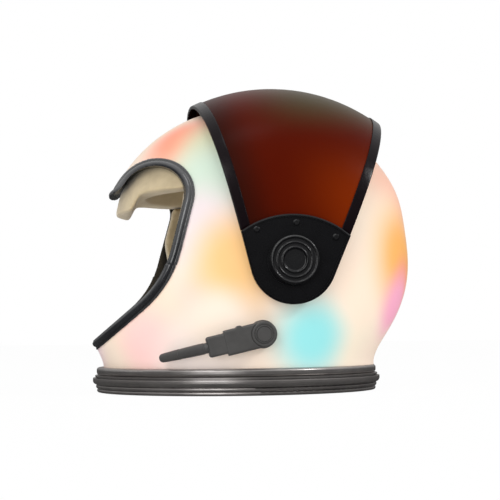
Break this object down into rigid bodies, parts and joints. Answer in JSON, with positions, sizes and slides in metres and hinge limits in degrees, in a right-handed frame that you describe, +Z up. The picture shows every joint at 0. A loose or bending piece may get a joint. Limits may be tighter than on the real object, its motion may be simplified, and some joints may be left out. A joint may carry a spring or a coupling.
{
  "type": "astronaut helmet",
  "caption": "Full-size rigid helmet with an open face, padded liner, beaded neck ring, tinted outer visor that swings down from side pivots, and a small side boom.",
  "frame": {"origin": "centre of the neck bore at the lower face of the neck ring", "axes": "+Z up along the neck bore, the face opening looks along -X, the wearer's left side with the boom is -Y"},
  "size_m": [0.3149, 0.3022, 0.298],
  "materials": {
    "shell": "smooth satin gloss with a soft pastel sprayed fade",
    "liner": "cream foam with a fine cloth face",
    "trim_rubber": "dark grey soft rubber",
    "ring_metal": "gunmetal satin paint",
    "seal_rubber": "black rubber",
    "visor_tint": "deep amber brown tint, glossy",
    "visor_edge": "black, glossy",
    "plate_black": "black satin",
    "steel": "plain steel",
    "boom_grey": "dark grey satin"
  },
  "bodies": {
    "root": {"shell": "shell", "face_trim_upper": "trim_rubber", "face_trim_lower": "trim_rubber", "neck_ring_base": "ring_metal", "neck_ring_middle": "ring_metal", "neck_ring_upper": "ring_metal", "neck_ring_screws": "steel", "neck_seal": "seal_rubber", "brow_pad": "liner", "crown_pad": "liner", "nape_pad": "liner", "cheek_pad_left": "liner", "cheek_pad_right": "liner", "side_pad_left": "liner", "side_pad_right": "liner", "boom_mount": "boom_grey", "boom_pin": "boom_grey", "pivot_base_left": "plate_black", "pivot_slip_washer_left": "plate_black", "pivot_spring_washer_left": "steel", "pivot_screw_left": "steel", "pivot_backing_left": "steel", "pivot_cap_left": "plate_black", "pivot_base_right": "plate_black", "pivot_slip_washer_right": "plate_black", "pivot_spring_washer_right": "steel", "pivot_screw_right": "steel", "pivot_backing_right": "steel", "pivot_cap_right": "plate_black"},
    "visor": {"visor_lens": "visor_tint", "visor_front_trim": "visor_edge", "visor_rear_trim": "visor_edge", "side_plate_left": "plate_black", "side_plate_right": "plate_black", "plate_rivets_left": "plate_black", "plate_rivets_right": "plate_black"},
    "boom": {"boom_hub": "boom_grey", "boom_housing": "boom_grey", "boom_collar": "boom_grey", "boom_rod": "boom_grey", "boom_tip": "boom_grey"}
  },
  "joints": [
    {"name": "visor_hinge", "type": "hinge", "parent": "root", "child": "visor", "pos_m": [0.0352, 0, 0.1189], "axis": [0, -1, 0], "range_deg": [0, 74]},
    {"name": "boom_hinge", "type": "hinge", "parent": "root", "child": "boom", "pos_m": [0.0075, -0.1434, 0.054], "axis": [0, 1, 0], "range_deg": [-4, 20]}
  ]
}
